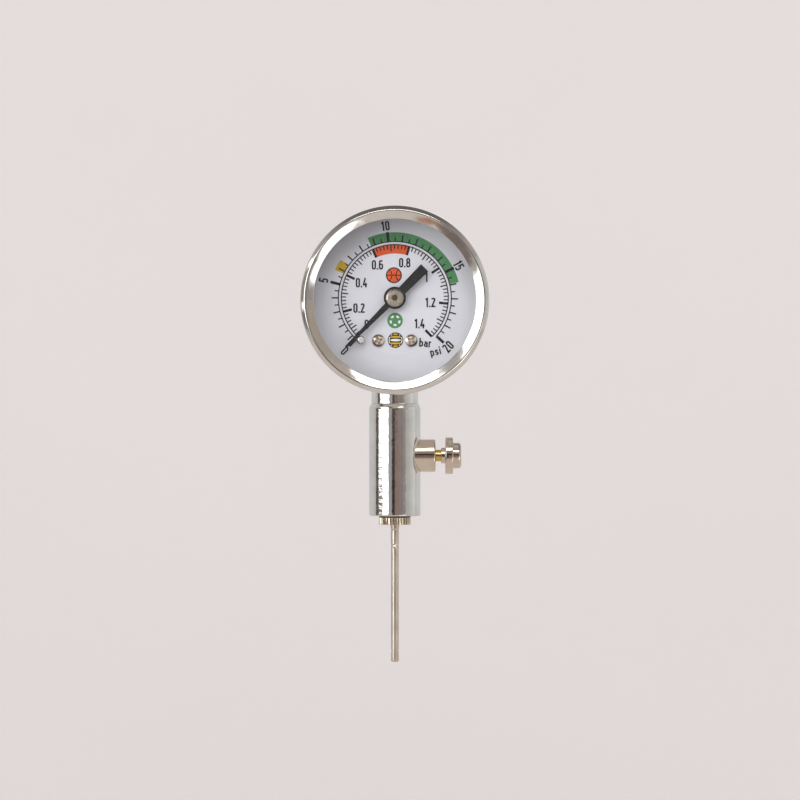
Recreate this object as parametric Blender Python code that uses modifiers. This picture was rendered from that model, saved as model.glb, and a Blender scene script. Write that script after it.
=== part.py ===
"""Ball pressure gauge: a small Bourdon-tube dial gauge on a stem, with a push-button
bleed valve on the stem's side and a screw-in inflation needle below it.

Frame: +Z runs up the stem, the dial faces -Y, and the origin is the centre of the
knurled collar's underside, where the gauge seats on a ball. Sizes are in millimetres
and become metres through MM. The dial gauge's own pieces are placed by "front" values,
the distance forward of the gauge's datum plane, which lies GAUGE_FORWARD in front of
the stem's axis.
"""

import math

import bmesh
import bpy
from mathutils import Matrix

MM = 0.001
NAME = "ball_pressure_gauge"

# ------------------------------------------------------------- driving dimensions
DIAL_Z = 48.4  # height of the dial's centre and the pointer's axis
CASE_Z = 47.85  # height of the case's and bezel's centre, a little lower
GAUGE_FORWARD = 1.5  # of the gauge's datum plane, ahead of the stem's axis
GAP = 0.1  # between pieces that touch or nearly touch

CASE_R = 19.3
CASE_WALL = 0.8
CASE_BACK = -9.5  # front values from here on
CASE_RIM = 7.2

BEZEL_R = 20.0
BEZEL_OPENING_R = 17.2
BEZEL_FRONT = 12.5
BEZEL_SKIRT = 4.3
LENS_BACK = 9.4
LENS_FRONT = 10.6
LENS_R = 19.1

DIAL_R = 17.85
DIAL_BACK = 4.7
DIAL_FRONT = 5.3
DIAL_SCREW_X = 3.49
DIAL_SCREW_Z = -9.05  # below the dial's centre
STOP_PIN_X = -7.2
STOP_PIN_Z = -8.95
STOP_PIN_R = 0.75

POINTER_BACK = 6.6
POINTER_FRONT = 6.95
POINTER_HUB_R = 2.36
POINTER_LENGTH = 14.8
POINTER_TAIL = 9.0
NEEDLE_ROOT_HALF = 0.64  # half widths of the pointer's needle, at the hub and at its tip
NEEDLE_TIP_HALF = 0.27
TAIL_ROOT_HALF = 0.95  # and of its tail, at the hub and at its end
TAIL_END_HALF = 1.1
POINTER_ZERO_DEG = -135.2  # clockwise from straight up, seen from the front
BUSHING_R = 1.9
ARBOR_R = 0.45

FRONT_PLATE = (3.8, 4.6)
BACK_PLATE = (-1.4, -0.6)
PILLARS = {"left": (-7.2, 0.0), "right": (7.2, 0.0), "lower": (-4.3, -10.4)}
MOVEMENT_SCREW_X = 3.2
MOVEMENT_SCREW_Z = -8.2

MODULE = 0.2
PINION_TEETH = 10
SECTOR_TEETH_FULL = 90  # a whole wheel of the sector's pitch would have this many
SECTOR_FIRST_TOOTH = -2
SECTOR_LAST_TOOTH = 10
CENTRE_DISTANCE = MODULE * (PINION_TEETH + SECTOR_TEETH_FULL) / 2
SECTOR_LAYER = (1.3, 2.3)
PINION_LAYER = (1.1, 2.5)
COLLET_LAYER = (2.9, 3.5)
LINK_LAYER = (0.5, 1.1)
TAIL_ARM = 5.0
TAIL_DEG = 125.0
LINK_EYE_R = 1.0
LINK_PIN_R = 0.45
OPEN_PIVOT_PLAY = 0.17  # the link's lower eye has this much room round its pin

TUBE_R = 13.4  # of the Bourdon tube's centre line
TUBE_ROOT_DEG = -158.0
TUBE_TIP_DEG = 114.0
TUBE_THICK = 1.7
TUBE_WIDE = 5.0
TUBE_WALL = 0.25
TUBE_FRONT = -4.5  # of its centre line
TIP_PIN = (10.6, -5.0)

STEM_R = 5.5
STEM_LOW = 1.9
STEM_TOP = 25.85
NECK_R = 5.0
NECK_TOP = 30.0
SOCKET_BORE_R = 4.2
SOCKET_BORE_LOW = 19.8
NIPPLE_R = 4.0
NEEDLE_BORE_R = 2.6
NEEDLE_BORE_TOP = 8.5
PASSAGE_R = 1.2

VALVE_Z = 14.8
VALVE_BODY_R = 3.5
VALVE_BODY_X = (1.8, 8.7)
VALVE_HOLE_FAR = -2.2  # how deep the stem's cross hole goes, past the stem's axis
CHAMBER_R = 2.3
SHAFT_R = 1.25
FLANGE_R = 3.95
FLANGE_X = (10.8, 12.45)
BUTTON_R = 2.75
BUTTON_END = 14.2

COLLAR_R = 3.42
COLLAR_H = 1.6
KNURL_RIBS = 34
KNURL_DEPTH = 0.18
SHANK_R = 2.45
SHANK_TOP = 7.2
NEEDLE_R = 0.85
NEEDLE_BASE_R = 0.93
NEEDLE_TIP = -29.4
NEEDLE_TOP = 5.0
NEEDLE_BORE = 0.45

FRONTAL = (math.pi / 2, 0, 0)  # turns local +Z to the front
SIDEWAYS = (0, math.pi / 2, 0)  # turns local +Z to +X
UPRIGHT = (0, 0, 0)
DIAL_CENTRE = (0, -GAUGE_FORWARD, DIAL_Z)
CASE_CENTRE = (0, -GAUGE_FORWARD, CASE_Z)
PIVOT = (0, -GAUGE_FORWARD, DIAL_Z - CENTRE_DISTANCE)


# --------------------------------------------------------------------- the scene
def clear_scene():
    for obj in list(bpy.data.objects):
        bpy.data.objects.remove(obj, do_unlink=True)


def new_collection(name):
    group = bpy.data.collections.new(name)
    bpy.context.scene.collection.children.link(group)
    return group


def new_material(name, colour, roughness, metallic):
    mat = bpy.data.materials.new(name)
    mat.use_nodes = True
    shader = mat.node_tree.nodes["Principled BSDF"]
    shader.inputs["Base Color"].default_value = (*colour, 1.0)
    shader.inputs["Roughness"].default_value = roughness
    shader.inputs["Metallic"].default_value = metallic
    return mat


def add(name, data, turn, centre, mat):
    """A new object in the part's collection, or among the cutters if it has no material."""
    obj = bpy.data.objects.new(name, data)
    obj.rotation_euler = turn
    obj.location = [c * MM for c in centre]
    if mat is None:
        cutters.objects.link(obj)
        obj.hide_render = True
        obj.display_type = "WIRE"
    else:
        part.objects.link(obj)
        data.materials.append(mat)
    return obj


# ------------------------------------------------------------------------ shapes
def on_dial(x, z):
    """A place on the gauge's datum plane, from the dial's centre."""
    return (x, -GAUGE_FORWARD, DIAL_Z + z)


def polar(radius, deg, centre=(0.0, 0.0)):
    """A point at an angle clockwise from straight up."""
    a = math.radians(deg)
    return (centre[0] + radius * math.sin(a), centre[1] + radius * math.cos(a))


def arc(radius, start, end, count, centre=(0.0, 0.0)):
    return [polar(radius, start + (end - start) * i / count, centre) for i in range(count + 1)]


def circle(radius, count=24, centre=(0.0, 0.0)):
    return arc(radius, 0, 360, count, centre)[:-1]


def turned(name, profile, steps, turn, centre, mat):
    """A lathe-turned solid. The profile lists (radius, height) down its outer side."""
    mesh = bpy.data.meshes.new(name)
    count = len(profile)
    closed = profile[0][0] > 0 or profile[-1][0] > 0
    edges = [(i, i + 1) for i in range(count - 1)]
    if closed:
        edges.append((count - 1, 0))
    mesh.from_pydata([(r * MM, 0, h * MM) for r, h in profile], edges, [])
    obj = add(name, mesh, turn, centre, mat)
    screw = obj.modifiers.new("Screw", "SCREW")
    screw.axis = "Z"
    screw.steps = steps
    screw.render_steps = steps
    screw.use_merge_vertices = True
    screw.merge_threshold = 0.00001
    screw.use_smooth_shade = False
    return obj


def ring(name, inner, outer, low, high, steps, turn, centre, mat):
    profile = [(inner, high), (outer, high), (outer, low), (inner, low)]
    return turned(name, profile, steps, turn, centre, mat)


def rod(name, radius, low, high, steps, turn, centre, mat):
    profile = [(0, high), (radius, high), (radius, low), (0, low)]
    return turned(name, profile, steps, turn, centre, mat)


def flat(name, outlines, low, high, turn, centre, mat):
    """A flat piece cut from sheet: the first outline is its edge and the rest are holes."""
    curve = bpy.data.curves.new(name, "CURVE")
    curve.dimensions = "2D"
    curve.fill_mode = "BOTH"
    curve.extrude = (high - low) / 2 * MM
    for points in outlines:
        spline = curve.splines.new("POLY")
        spline.points.add(len(points) - 1)
        spline.use_cyclic_u = True
        for point, (x, y) in zip(spline.points, points):
            point.co = (x * MM, y * MM, 0, 1)
    obj = add(name, curve, turn, centre, mat)
    bpy.context.view_layer.update()
    middle = Matrix.Translation((0, 0, (low + high) / 2 * MM))
    solid = bpy.data.meshes.new_from_object(obj.evaluated_get(bpy.context.evaluated_depsgraph_get()))
    bm = bmesh.new()
    bm.from_mesh(solid)
    bmesh.ops.remove_doubles(bm, verts=bm.verts, dist=0.001 * MM)
    bm.to_mesh(solid)
    bm.free()
    solid.transform(middle)
    bpy.data.objects.remove(obj, do_unlink=True)
    solid.materials.clear()
    return add(name, solid, turn, centre, mat)


def wire(name, points, radius, turn, centre, mat):
    """A round wire along a list of points."""
    curve = bpy.data.curves.new(name, "CURVE")
    curve.dimensions = "3D"
    curve.bevel_depth = radius * MM
    curve.bevel_resolution = 2
    curve.use_fill_caps = True
    spline = curve.splines.new("POLY")
    spline.points.add(len(points) - 1)
    for point, place in zip(spline.points, points):
        point.co = (*[c * MM for c in place], 1)
    return add(name, curve, turn, centre, mat)


def combine(obj, tool, operation):
    step = obj.modifiers.new(operation.title(), "BOOLEAN")
    step.operation = operation
    step.object = tool
    step.solver = "EXACT"


def toothed(pitch_r, teeth, first, last):
    """Points of slim straight-sided teeth, clockwise; tooth 0 is straight up."""
    addendum = 0.8 * MODULE
    dedendum = 1.3 * MODULE
    tip_half = math.degrees(0.05 / (pitch_r + addendum))
    root_half = math.degrees(0.12 / (pitch_r - dedendum))
    points = []
    for k in range(first, last + 1):
        middle = 360.0 * k / teeth
        points.append(polar(pitch_r - dedendum, middle - root_half))
        points.append(polar(pitch_r + addendum, middle - tip_half))
        points.append(polar(pitch_r + addendum, middle + tip_half))
        points.append(polar(pitch_r - dedendum, middle + root_half))
    return points


# ------------------------------------------------------------- housing and glazing
def make_case():
    inner = CASE_R - CASE_WALL
    floor = CASE_BACK + CASE_WALL
    profile = [(0, floor), (inner - 1, floor), (inner - 0.3, floor + 0.3), (inner, floor + 1)]
    profile += [(inner, CASE_RIM), (CASE_R, CASE_RIM), (CASE_R, CASE_BACK + 1.4)]
    profile += [(CASE_R - 0.4, CASE_BACK + 0.4), (CASE_R - 1.4, CASE_BACK), (0, CASE_BACK)]
    case = turned("case", profile, 56, FRONTAL, CASE_CENTRE, chrome)
    entry = rod("entry_cut", NIPPLE_R + GAP, 26, 34, 36, UPRIGHT, (0, 0, 0), None)
    combine(case, entry, "DIFFERENCE")


def make_bezel():
    lip = LENS_FRONT + GAP
    inside = CASE_R + 0.08
    profile = [(BEZEL_OPENING_R, lip + 0.5), (17.36, 11.62), (18.3, 12.04), (19.2, 12.38)]
    profile += [(19.5, BEZEL_FRONT), (19.78, 12.4), (19.94, 12.15), (BEZEL_R, 11.75)]
    profile += [(BEZEL_R, BEZEL_SKIRT + 0.3)]
    profile += [(BEZEL_R - 0.15, BEZEL_SKIRT), (inside, BEZEL_SKIRT), (inside, lip)]
    profile += [(BEZEL_OPENING_R, lip)]
    turned("bezel", profile, 56, FRONTAL, CASE_CENTRE, chrome)


def make_lens():
    profile = [(0, LENS_FRONT), (LENS_R - 0.2, LENS_FRONT), (LENS_R, LENS_FRONT - 0.2)]
    profile += [(LENS_R, LENS_BACK), (0, LENS_BACK)]
    turned("lens", profile, 48, FRONTAL, CASE_CENTRE, clear)
    low = CASE_RIM + GAP
    ring("lens_gasket", 17.7, LENS_R, low, LENS_BACK - GAP, 48, FRONTAL, CASE_CENTRE, rubber)


def make_dial():
    edge = circle(DIAL_R, 56)
    holes = [circle(1.2, 20), circle(0.55, 16, (STOP_PIN_X, STOP_PIN_Z))]
    for side in (-1, 1):
        holes.append(circle(1.0, 20, (side * DIAL_SCREW_X, DIAL_SCREW_Z)))
    flat("dial_plate", [edge, *holes], DIAL_BACK, DIAL_FRONT, FRONTAL, DIAL_CENTRE, white)


def make_dial_screws():
    for side, word, clocking in ((-1, "left", 20), (1, "right", -35)):
        centre = on_dial(side * DIAL_SCREW_X, DIAL_SCREW_Z)
        seat = DIAL_FRONT + GAP
        profile = [(0, seat + 0.62), (0.9, seat + 0.58), (1.25, seat + 0.35)]
        profile += [(1.33, seat), (0.8, seat), (0.8, FRONT_PLATE[0] + GAP), (0, FRONT_PLATE[0] + GAP)]
        screw = turned("dial_screw_" + word, profile, 24, FRONTAL, centre, nickel)
        cross = circle_cross(0.9, 0.22)
        turn = (math.pi / 2, math.radians(clocking), 0)
        cut = flat("recess_" + word, [cross], seat + 0.3, seat + 1.0, turn, centre, None)
        combine(screw, cut, "DIFFERENCE")


def circle_cross(reach, half):
    """The outline of a cross with arms of this reach and half width."""
    quarter = [(half, reach), (half, half), (reach, half)]
    points = []
    for k in range(4):
        a = -k * math.pi / 2
        for x, y in quarter:
            points.append((x * math.cos(a) - y * math.sin(a), x * math.sin(a) + y * math.cos(a)))
    return points


def make_stop_pin():
    seat = DIAL_FRONT + GAP
    profile = [(0, 7.5), (STOP_PIN_R - 0.2, 7.5), (STOP_PIN_R, 7.3), (STOP_PIN_R, seat)]
    profile += [(0.45, seat), (0.45, DIAL_BACK + 0.05), (0, DIAL_BACK + 0.05)]
    centre = on_dial(STOP_PIN_X, STOP_PIN_Z)
    turned("zero_stop_pin", profile, 20, FRONTAL, centre, chrome)


# --------------------------------------------------------------- pointer and arbor
def make_pointer():
    """Built pointing straight up and then turned to its zero."""
    tip = [(-NEEDLE_TIP_HALF, POINTER_LENGTH), (NEEDLE_TIP_HALF, POINTER_LENGTH)]
    start = math.degrees(math.asin(NEEDLE_ROOT_HALF / POINTER_HUB_R))
    tail_start = 180 - math.degrees(math.asin(TAIL_ROOT_HALF / POINTER_HUB_R))
    right = arc(POINTER_HUB_R, start, tail_start, 10)
    tail = [(TAIL_END_HALF, -POINTER_TAIL), (-TAIL_END_HALF, -POINTER_TAIL)]
    left = [(-x, y) for x, y in reversed(right)]
    outline = tip + right + tail + left
    turn = (math.pi / 2, math.radians(POINTER_ZERO_DEG), 0)
    flat("pointer", [outline, circle(1.0, 20)], POINTER_BACK, POINTER_FRONT, turn, DIAL_CENTRE, black)


def make_bushing():
    cap = POINTER_FRONT + 0.05
    profile = [(0.52, 7.62), (1.5, 7.62), (BUSHING_R, cap + 0.3), (BUSHING_R, cap)]
    profile += [(0.9, cap), (0.9, 5.7), (0.52, 5.7)]
    turned("pointer_bushing", profile, 24, FRONTAL, DIAL_CENTRE, nickel)


def make_arbor():
    profile = [(0, 7.75), (0.35, 7.75), (ARBOR_R, 7.6)]
    profile += [(ARBOR_R, COLLET_LAYER[1]), (0.9, COLLET_LAYER[1]), (0.9, COLLET_LAYER[0])]
    profile += [(ARBOR_R, COLLET_LAYER[0]), (ARBOR_R, -1.3), (0, -1.3)]
    arbor = turned("pinion_arbor", profile, 20, FRONTAL, DIAL_CENTRE, steel)
    pitch_r = MODULE * PINION_TEETH / 2
    gear = flat("pinion_teeth", [toothed(pitch_r, PINION_TEETH, 0, PINION_TEETH - 1)],
                *PINION_LAYER, (math.pi / 2, math.pi / PINION_TEETH, 0), DIAL_CENTRE, None)
    combine(arbor, gear, "UNION")


def make_hairspring():
    turns, inner, outer, per_turn = 3.5, 1.06, 3.26, 14
    count = int(turns * per_turn)
    middle = sum(COLLET_LAYER) / 2
    points = []
    for i in range(count + 1):
        share = i / count
        x, y = polar(inner + (outer - inner) * share, 60 - 360 * turns * (1 - share))
        points.append((x, y, middle))
    wire("hairspring", points, 0.08, FRONTAL, DIAL_CENTRE, bronze)
    x, z = polar(outer + 0.52, 60)
    rod("hairspring_stud", 0.35, 2.9, FRONT_PLATE[0] - 0.05, 14, FRONTAL, on_dial(x, z), brass)


# -------------------------------------------------------------------- the movement
def movement_outline():
    edge = arc(1.6, 0, 80, 4, (7.4, 0.2)) + arc(1.6, 110, 180, 4, (4.0, -10.2))
    edge += arc(1.6, 180, 250, 4, (-4.0, -10.2)) + arc(1.6, 280, 360, 4, (-7.4, 0.2))
    return edge


def make_plates():
    pillar_holes = [circle(0.56, 16, place) for place in PILLARS.values()]
    pivots = [circle(ARBOR_R + 0.06, 20), circle(0.46, 16, (0, -CENTRE_DISTANCE))]
    sides = (-1, 1)
    screws = [circle(0.88, 20, (s * DIAL_SCREW_X, DIAL_SCREW_Z)) for s in sides]
    front = [movement_outline(), *pillar_holes, *pivots, *screws]
    flat("movement_front_plate", front, *FRONT_PLATE, FRONTAL, DIAL_CENTRE, brass)
    screws = [circle(0.78, 20, (s * MOVEMENT_SCREW_X, MOVEMENT_SCREW_Z)) for s in sides]
    back = [movement_outline(), *pillar_holes, *pivots, *screws]
    flat("movement_back_plate", back, *BACK_PLATE, FRONTAL, DIAL_CENTRE, brass)


def make_pillars():
    high, low = FRONT_PLATE[0] - 0.05, BACK_PLATE[1] + 0.05
    for word, (x, z) in PILLARS.items():
        profile = [(0, high + 0.7), (0.5, high + 0.7), (0.5, high), (0.9, high), (0.9, low)]
        profile += [(0.5, low), (0.5, low - 0.7), (0, low - 0.7)]
        turned("movement_pillar_" + word, profile, 20, FRONTAL, on_dial(x, z), brass)


def make_movement_screws():
    for side, word in ((-1, "left"), (1, "right")):
        seat = BACK_PLATE[1] + 0.05
        profile = [(0, seat + 0.6), (0.95, seat + 0.6), (1.15, seat + 0.4), (1.15, seat)]
        profile += [(0.7, seat), (0.7, -3.3), (0, -3.3)]
        centre = on_dial(side * MOVEMENT_SCREW_X, MOVEMENT_SCREW_Z)
        screw = turned("movement_screw_" + word, profile, 20, FRONTAL, centre, nickel)
        slot = [(-1.5, -0.15), (1.5, -0.15), (1.5, 0.15), (-1.5, 0.15)]
        cut = flat("slot_" + word, [slot], seat + 0.3, seat + 1.0, FRONTAL, centre, None)
        combine(screw, cut, "DIFFERENCE")


def make_sector():
    """The toothed sector, its tail arm, its arbor and the pin in its tail."""
    pitch_r = MODULE * SECTOR_TEETH_FULL / 2
    eye = polar(TAIL_ARM, TAIL_DEG)
    outline = toothed(pitch_r, SECTOR_TEETH_FULL, SECTOR_FIRST_TOOTH, SECTOR_LAST_TOOTH)
    outline += [polar(1.6, 85)]
    outline += arc(LINK_EYE_R, TAIL_DEG - 90, TAIL_DEG + 90, 10, eye)
    outline += arc(1.6, 165, 320, 8)
    hub = circle(0.46, 16)
    tail_hole = circle(LINK_PIN_R + 0.05, 16, eye)
    window = [polar(7.2, -4), polar(7.2, 10), polar(7.2, 24), polar(7.2, 34), polar(3.0, 30), polar(3.0, 4)]
    flat("sector_gear", [outline, hub, tail_hole, window], *SECTOR_LAYER, FRONTAL, PIVOT, brass)
    profile = [(0, 4.5), (0.4, 4.5), (0.4, 2.95), (0.9, 2.95), (0.9, SECTOR_LAYER[1] + 0.05)]
    profile += [(0.4, SECTOR_LAYER[1] + 0.05), (0.4, -1.3), (0, -1.3)]
    turned("sector_arbor", profile, 16, FRONTAL, PIVOT, steel)
    centre = on_dial(eye[0], eye[1] - CENTRE_DISTANCE)
    rod("sector_link_pin", LINK_PIN_R, LINK_LAYER[0] - 0.2, SECTOR_LAYER[1] + 0.2, 16, FRONTAL, centre, steel)


def make_link():
    eye = polar(TAIL_ARM, TAIL_DEG, (0, -CENTRE_DISTANCE))
    run = (eye[0] - TIP_PIN[0], eye[1] - TIP_PIN[1])
    slope = math.degrees(math.atan2(run[0], run[1]))
    outline = arc(LINK_EYE_R, slope - 90, slope - 50, 2, run) + arc(LINK_EYE_R, slope - 40, slope + 90, 8, run)
    outline += [polar(0.55, slope + 90, (run[0] * 0.8, run[1] * 0.8))]
    outline += [polar(0.55, slope + 90, (run[0] * 0.2, run[1] * 0.2))]
    outline += arc(LINK_EYE_R, slope + 120, slope + 240, 10)
    outline += [polar(0.55, slope - 90, (run[0] * 0.2, run[1] * 0.2))]
    outline += [polar(0.55, slope - 90, (run[0] * 0.8, run[1] * 0.8))]
    upper = circle(LINK_PIN_R + 0.06, 16)
    lower = circle(LINK_PIN_R + OPEN_PIVOT_PLAY, 20, run)
    centre = on_dial(*TIP_PIN)
    flat("link", [outline, upper, lower], *LINK_LAYER, FRONTAL, centre, brass)
    profile = [(0, 1.5), (0.75, 1.5), (0.75, LINK_LAYER[1] + 0.06), (LINK_PIN_R, LINK_LAYER[1] + 0.06)]
    profile += [(LINK_PIN_R, -0.8), (0, -0.8)]
    turned("tip_link_pin", profile, 16, FRONTAL, centre, steel)


# -------------------------------------------------------- pressure tube and socket
def make_bourdon_tube():
    """A flattened tube bent to a C round the dial's axis, open at both ends."""
    section = bpy.data.curves.new("tube_section", "CURVE")
    section.dimensions = "2D"
    flat_half = (TUBE_WIDE - TUBE_THICK) / 2
    outline = arc(TUBE_THICK / 2, -90, 90, 4, (0, flat_half))
    outline += arc(TUBE_THICK / 2, 90, 270, 4, (0, -flat_half))
    spline = section.splines.new("POLY")
    spline.points.add(len(outline) - 1)
    spline.use_cyclic_u = True
    for point, (x, y) in zip(spline.points, outline):
        point.co = (x * MM, y * MM, 0, 1)
    guide = add("tube_section", section, UPRIGHT, (0, 0, 0), None)
    curve = bpy.data.curves.new("bourdon_tube", "CURVE")
    curve.dimensions = "3D"
    curve.twist_mode = "Z_UP"
    curve.bevel_mode = "OBJECT"
    curve.bevel_object = guide
    path = arc(TUBE_R, TUBE_ROOT_DEG, TUBE_TIP_DEG, 30)
    spline = curve.splines.new("POLY")
    spline.points.add(len(path) - 1)
    for point, (x, y) in zip(spline.points, path):
        point.co = (x * MM, y * MM, 0, 1)
    tube = add("bourdon_tube", curve, FRONTAL, (0, -TUBE_FRONT - GAUGE_FORWARD, DIAL_Z), bronze)
    shell = tube.modifiers.new("Solidify", "SOLIDIFY")
    shell.thickness = TUBE_WALL * MM
    shell.offset = -1
    shell.use_rim = True


def make_tube_tip():
    """The cap on the tube's free end, with an ear forward to the link's pin."""
    deg = TUBE_TIP_DEG + 3.4
    middle = polar(TUBE_R, deg)
    corners = []
    for out, along in ((-1.1, -0.62), (1.1, -0.62), (1.1, 0.62), (-1.1, 0.62)):
        a = math.radians(deg)
        x = middle[0] + out * math.sin(a) + along * math.cos(a)
        z = middle[1] + out * math.cos(a) - along * math.sin(a)
        corners.append((x, z))
    low = TUBE_FRONT - TUBE_WIDE / 2
    tip = flat("tube_tip", [corners], low, 0.3, FRONTAL, DIAL_CENTRE, brass)
    ear_edge = [corners[1], corners[2]] + arc(1.15, 190, 370, 10, TIP_PIN)
    ear = flat("tip_ear", [ear_edge], -1.0, 0.3, FRONTAL, DIAL_CENTRE, None)
    combine(tip, ear, "UNION")
    centre = on_dial(*TIP_PIN)
    hole = rod("ear_hole", LINK_PIN_R + 0.05, -2, 2, 16, FRONTAL, centre, None)
    combine(tip, hole, "DIFFERENCE")


def box(name, low, high, mat):
    """A box between two corners."""
    mesh = bpy.data.meshes.new(name)
    bm = bmesh.new()
    bmesh.ops.create_cube(bm, size=1)
    size = [(h - l) * MM for l, h in zip(low, high)]
    bmesh.ops.scale(bm, vec=size, verts=bm.verts)
    bm.to_mesh(mesh)
    bm.free()
    return add(name, mesh, UPRIGHT, [(l + h) / 2 for l, h in zip(low, high)], mat)


def make_socket():
    """The threaded nipple, its flange in the case and the block that holds tube and movement."""
    top, low = DIAL_Z - 2.6, SOCKET_BORE_LOW + 0.7
    back = 5.8
    face = -BACK_PLATE[0] + GAP - GAUGE_FORWARD
    flange = (DIAL_Z - 17.2, DIAL_Z - 15.2)
    socket = box("socket", (-4.3, face, flange[1] - 0.5), (4.3, back, top), brass)
    base = box("socket_flange", (-4.4, -4.0, flange[0]), (4.4, back, flange[1]), None)
    nipple = rod("socket_nipple", NIPPLE_R, low, flange[0] + 0.5, 36, UPRIGHT, (0, 0, 0), None)
    combine(socket, base, "UNION")
    combine(socket, nipple, "UNION")
    riser, root = -TUBE_FRONT - GAUGE_FORWARD, polar(TUBE_R, TUBE_ROOT_DEG)[1] + DIAL_Z
    across = flange[0] + 1.0
    drills = [rod("drill_up", PASSAGE_R, low - 1, across + 0.4, 20, UPRIGHT, (0, 0, 0), None)]
    drills.append(rod("drill_back", 0.5, -riser - 0.3, 0, 16, FRONTAL, (0, 0, across), None))
    drills.append(rod("drill_riser", 0.55, across, root + 0.3, 16, UPRIGHT, (0, riser, 0), None))
    drills.append(rod("drill_side", 0.5, -6, 0, 16, SIDEWAYS, (0, riser, root), None))
    for side in (-1, 1):
        place = on_dial(side * MOVEMENT_SCREW_X, MOVEMENT_SCREW_Z)
        drills.append(rod("drill_screw", 0.76, -3.5, 0, 18, FRONTAL, place, None))
    for drill in drills:
        combine(socket, drill, "DIFFERENCE")
    seat = SOCKET_BORE_LOW
    ring("socket_seal", 1.5, NIPPLE_R, seat + 0.05, low - 0.05, 28, UPRIGHT, (0, 0, 0), rubber)


# ------------------------------------------------------------------ stem and valve
def make_stem():
    chamfer = 0.3
    profile = [(SOCKET_BORE_R, STEM_TOP), (STEM_R - 0.42, STEM_TOP), (STEM_R - 0.18, STEM_TOP - 0.25)]
    profile += [(STEM_R - 0.04, STEM_TOP - 0.75), (STEM_R, STEM_TOP - 1.3), (STEM_R, STEM_LOW + chamfer), (STEM_R - chamfer, STEM_LOW), (NEEDLE_BORE_R, STEM_LOW)]
    profile += [(NEEDLE_BORE_R, NEEDLE_BORE_TOP), (PASSAGE_R, NEEDLE_BORE_TOP + 1)]
    profile += [(PASSAGE_R, SOCKET_BORE_LOW), (SOCKET_BORE_R, SOCKET_BORE_LOW)]
    stem = turned("stem_body", profile, 40, UPRIGHT, (0, 0, 0), chrome)
    place = (0, 0, VALVE_Z)
    cross_hole = rod("cross_hole", VALVE_BODY_R + 0.06, VALVE_HOLE_FAR, 9, 32, SIDEWAYS, place, None)
    combine(stem, cross_hole, "DIFFERENCE")


def make_neck():
    """The plated sleeve on the nipple between stem and case, its top cut to the case's round side."""
    low, bore = STEM_TOP + GAP, NIPPLE_R + GAP
    neck = ring("stem_neck", bore, NECK_R, low, NECK_TOP, 40, UPRIGHT, (0, 0, 0), chrome)
    saddle = rod("neck_saddle", CASE_R + GAP, -12, 12, 112, FRONTAL, CASE_CENTRE, None)
    combine(neck, saddle, "DIFFERENCE")


def make_valve():
    """The valve body pressed into the stem, and the sleeve, stem, seal and spring inside it."""
    place = (0, 0, VALVE_Z)
    low, high = VALVE_BODY_X
    profile = [(CHAMBER_R, high), (VALVE_BODY_R - 0.5, high), (VALVE_BODY_R - 0.15, high - 0.15)]
    profile += [(VALVE_BODY_R, high - 0.5), (VALVE_BODY_R, low), (CHAMBER_R, low)]
    turned("valve_body", profile, 32, SIDEWAYS, place, nickel)
    ring("valve_sleeve", SHAFT_R + 0.07, CHAMBER_R - 0.06, 4.6, 8.0, 24, SIDEWAYS, place, brass)
    head = (2.6, 3.3)
    profile = [(0, 12.0), (SHAFT_R - 0.2, 12.0), (SHAFT_R, 11.8), (SHAFT_R, head[1]), (1.9, head[1])]
    profile += [(1.9, head[0]), (0, head[0])]
    turned("valve_stem", profile, 24, SIDEWAYS, place, brass)
    ring("valve_seal", SHAFT_R + 0.06, 2.0, head[1] + 0.06, 4.54, 24, SIDEWAYS, place, rubber)
    turns, per_turn, coil_r, wire_r = 4, 10, 1.5, 0.18
    near, far = head[0] - wire_r - 0.06, VALVE_HOLE_FAR + wire_r + 0.06
    count = turns * per_turn
    points = []
    for i in range(count + 1):
        x, y = polar(coil_r, 360 * turns * i / count)
        points.append((x, y, far + (near - far) * i / count))
    wire("valve_spring", points, wire_r, SIDEWAYS, place, steel)


def make_button():
    """The turned push button: hub, grip flange and raised end, pressed on the valve stem."""
    bore = SHAFT_R + 0.05
    hub_r, hub_low = 1.7, 9.9
    profile = [(0, BUTTON_END), (2.3, BUTTON_END), (2.62, BUTTON_END - 0.15), (BUTTON_R, BUTTON_END - 0.5)]
    profile += [(BUTTON_R, FLANGE_X[1]), (FLANGE_R - 0.25, FLANGE_X[1]), (FLANGE_R, FLANGE_X[1] - 0.25)]
    profile += [(FLANGE_R, FLANGE_X[0] + 0.2), (FLANGE_R - 0.2, FLANGE_X[0]), (hub_r, FLANGE_X[0])]
    profile += [(hub_r, hub_low), (bore, hub_low), (bore, 12.1), (0, 12.1)]
    turned("valve_button", profile, 32, SIDEWAYS, (0, 0, VALVE_Z), nickel)


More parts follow.
